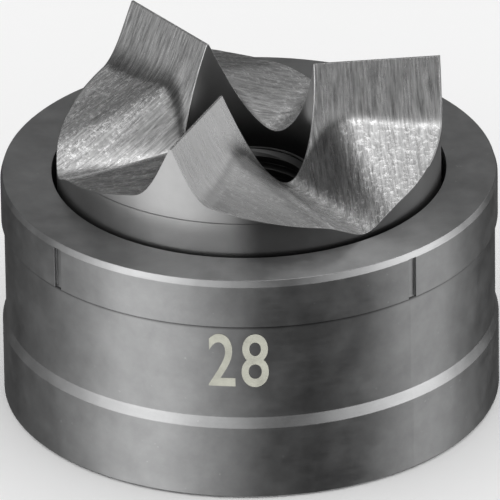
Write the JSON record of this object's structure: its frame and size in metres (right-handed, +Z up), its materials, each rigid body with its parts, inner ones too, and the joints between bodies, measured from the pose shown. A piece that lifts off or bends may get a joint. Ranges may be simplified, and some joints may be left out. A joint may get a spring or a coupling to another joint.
{
  "type": "sheet metal hole punch",
  "caption": "Round knockout punch with straight-edged teeth, standing teeth up in its cup-shaped die, for cutting holes in sheet metal with a separate draw stud",
  "frame": {"origin": "centre of the die's bottom face, on the common axis of die and punch", "axes": "+Z up along the axis of die and punch, +X to the right of the picture, +Y away from the camera"},
  "size_m": [0.0364, 0.0364, 0.0258],
  "materials": {
    "die_steel": "satin dark hardened steel, lightly oiled",
    "punch_steel": "milled and hardened steel with fine cutter marks"
  },
  "bodies": {
    "die": {"die": "die_steel"},
    "punch": {"punch": "punch_steel"}
  },
  "joints": [
    {"name": "punch_slide", "type": "slide", "parent": "die", "child": "punch", "axis": [0, 0, 1], "range_m": [0, 0.025]}
  ]
}
